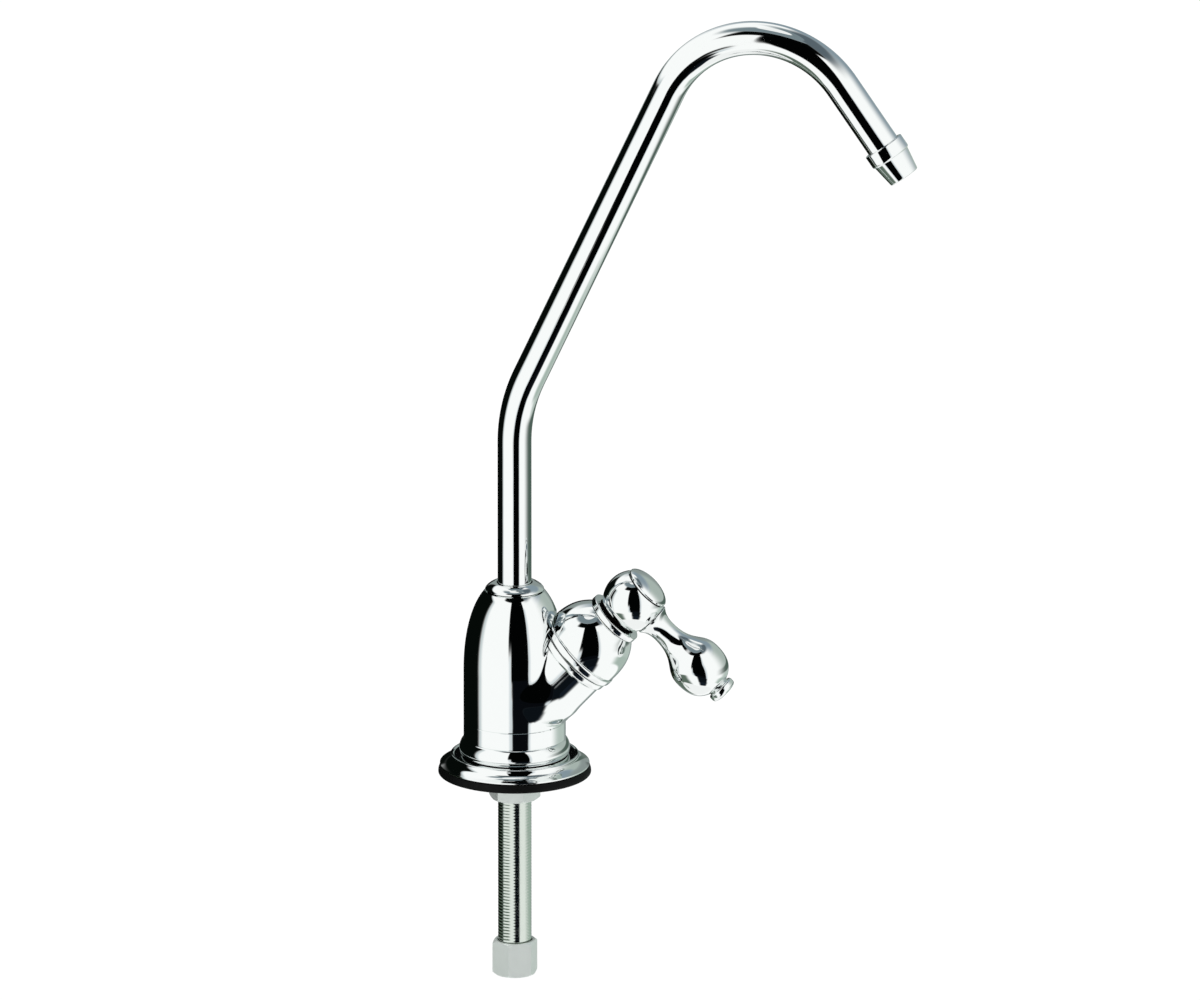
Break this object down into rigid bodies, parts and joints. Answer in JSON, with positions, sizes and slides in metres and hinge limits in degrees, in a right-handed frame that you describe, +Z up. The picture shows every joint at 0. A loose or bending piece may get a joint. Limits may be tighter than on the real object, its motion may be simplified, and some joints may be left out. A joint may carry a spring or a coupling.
{
  "type": "drinking water faucet",
  "caption": "Polished drinking water faucet with a bent swivel spout, a tilted quarter-turn side lever and a threaded shank with nuts below the deck.",
  "frame": {"origin": "on the shank's axis, in the plane of the deck's top that the base gasket rests on", "axes": "+Z up along the shank and the spout's swivel axis, +X from the body towards the valve branch and its lever"},
  "size_m": [0.1609, 0.0504, 0.3334],
  "materials": {
    "polished_chrome": "mirror-polished chrome plate over brass",
    "black_rubber": "moulded black nitrile rubber",
    "satin_nickel": "satin nickel plate over turned brass",
    "zinc_plated_steel": "bright zinc plate",
    "machined_brass": "turned brass",
    "lapped_ceramic": "lapped alumina ceramic",
    "natural_acetal": "moulded natural acetal"
  },
  "bodies": {
    "valve": {"valve_body": "polished_chrome", "base_plate": "polished_chrome", "base_gasket": "black_rubber", "shank": "satin_nickel", "clamp_washer": "zinc_plated_steel", "lock_washer": "zinc_plated_steel", "lock_nut": "satin_nickel", "inlet_nut": "satin_nickel", "ferrule": "natural_acetal", "bonnet": "polished_chrome", "cartridge_body": "machined_brass", "cartridge_seal": "black_rubber", "cartridge_oring": "black_rubber", "fixed_disc": "lapped_ceramic", "spout_collar": "polished_chrome"},
    "spout": {"spout_tube": "polished_chrome", "spout_nozzle": "polished_chrome", "spout_sleeve": "machined_brass", "spout_oring_lower": "black_rubber", "spout_oring_upper": "black_rubber", "slip_washer": "natural_acetal"},
    "handle": {"handle_hub": "polished_chrome", "handle_cap": "polished_chrome", "handle_screw": "zinc_plated_steel", "lever": "polished_chrome", "cartridge_stem": "machined_brass", "stem_oring_lower": "black_rubber", "stem_oring_upper": "black_rubber", "stem_clip": "zinc_plated_steel", "moving_disc": "lapped_ceramic"}
  },
  "joints": [
    {"name": "spout_swivel", "type": "hinge", "parent": "valve", "child": "spout", "pos_m": [0, 0, 0.05], "axis": [0, 0, 1], "continuous": true},
    {"name": "handle_turn", "type": "hinge", "parent": "valve", "child": "handle", "pos_m": [0.0396, 0, 0.0606], "axis": [0.7071, 0, 0.7071], "range_deg": [0, 90]}
  ]
}
